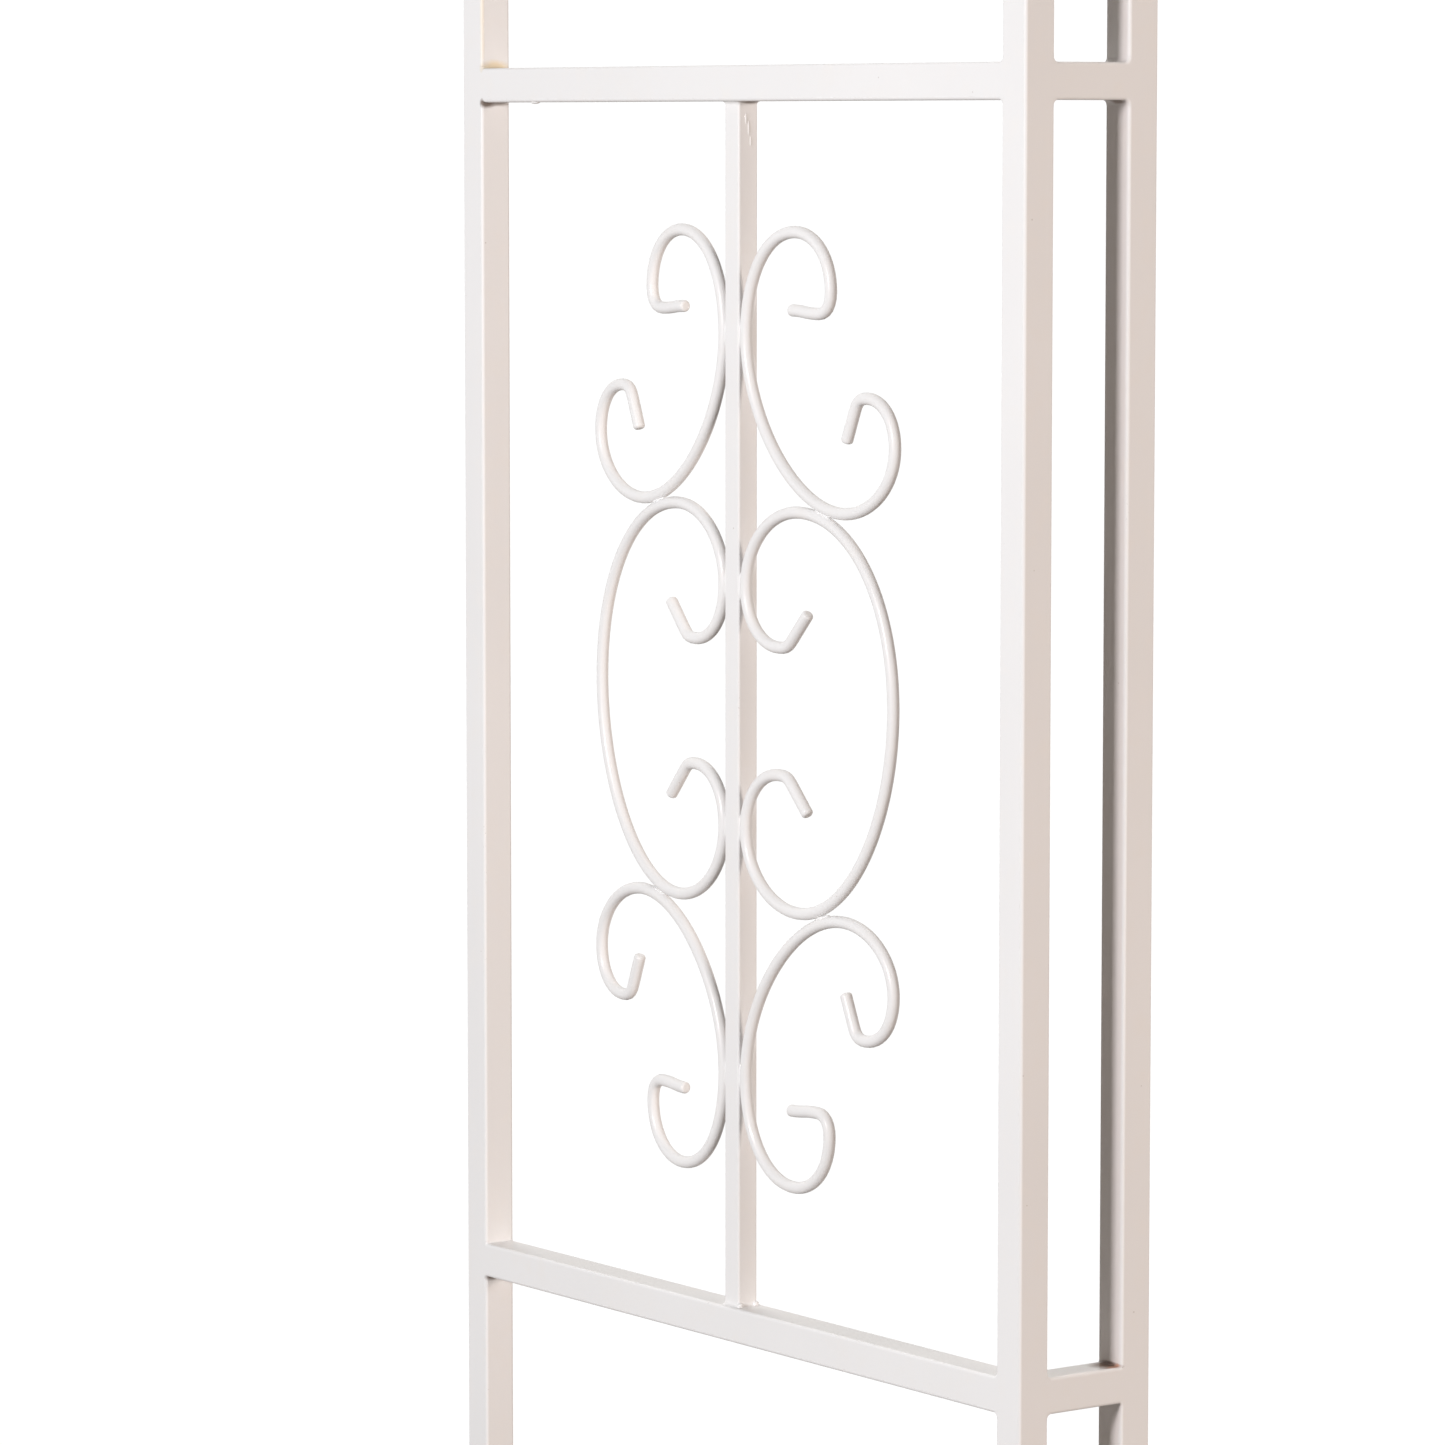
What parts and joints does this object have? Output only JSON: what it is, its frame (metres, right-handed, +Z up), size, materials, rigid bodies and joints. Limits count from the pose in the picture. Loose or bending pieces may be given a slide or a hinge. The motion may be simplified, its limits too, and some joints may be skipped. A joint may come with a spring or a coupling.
{
  "type": "metal trellis arch",
  "caption": "Walk-through garden arch of welded square tube with scrollwork side panels, a narrow ladder frame at the front and a half-round top.",
  "frame": {"origin": "centre of the bounding box at ground level", "axes": "+X across the walk-through towards the right leg, +Y from the ladder front to the rear, +Z up"},
  "size_m": [1.32, 0.503, 2.2093],
  "materials": {
    "powder_coat": "glossy off-white powder coat over welded steel",
    "zinc_plate": "plain zinc plating",
    "foot_plastic": "moulded light grey plastic"
  },
  "bodies": {
    "root": {"post_left_front_outer": "powder_coat", "foot_cap_left_front_outer": "foot_plastic", "spigot_left_front_outer": "zinc_plate", "post_left_front_inner": "powder_coat", "foot_cap_left_front_inner": "foot_plastic", "spigot_left_front_inner": "zinc_plate", "post_left_rear": "powder_coat", "foot_cap_left_rear": "foot_plastic", "spigot_left_rear": "zinc_plate", "post_right_front_outer": "powder_coat", "foot_cap_right_front_outer": "foot_plastic", "spigot_right_front_outer": "zinc_plate", "post_right_front_inner": "powder_coat", "foot_cap_right_front_inner": "foot_plastic", "spigot_right_front_inner": "zinc_plate", "post_right_rear": "powder_coat", "foot_cap_right_rear": "foot_plastic", "spigot_right_rear": "zinc_plate", "side_rail_left_bottom": "powder_coat", "rung_left_bottom": "powder_coat", "side_rail_left_middle": "powder_coat", "rung_left_middle": "powder_coat", "side_rail_left_top": "powder_coat", "rung_left_top": "powder_coat", "centre_bar_left": "powder_coat", "scroll_left_front_upper": "powder_coat", "scroll_left_front_middle": "powder_coat", "scroll_left_front_lower": "powder_coat", "scroll_left_rear_upper": "powder_coat", "scroll_left_rear_middle": "powder_coat", "scroll_left_rear_lower": "powder_coat", "side_rail_right_bottom": "powder_coat", "rung_right_bottom": "powder_coat", "side_rail_right_middle": "powder_coat", "rung_right_middle": "powder_coat", "side_rail_right_top": "powder_coat", "rung_right_top": "powder_coat", "centre_bar_right": "powder_coat", "scroll_right_front_upper": "powder_coat", "scroll_right_front_middle": "powder_coat", "scroll_right_front_lower": "powder_coat", "scroll_right_rear_upper": "powder_coat", "scroll_right_rear_middle": "powder_coat", "scroll_right_rear_lower": "powder_coat", "arch_front_outer": "powder_coat", "arch_front_inner": "powder_coat", "arch_rear": "powder_coat", "arch_rung_1": "powder_coat", "crossbar_1": "powder_coat", "arch_rung_2": "powder_coat", "crossbar_2": "powder_coat", "arch_rung_3": "powder_coat", "crossbar_3": "powder_coat", "arch_rung_4": "powder_coat", "crossbar_4": "powder_coat", "arch_rung_5": "powder_coat", "crossbar_5": "powder_coat"}
  },
  "joints": []
}
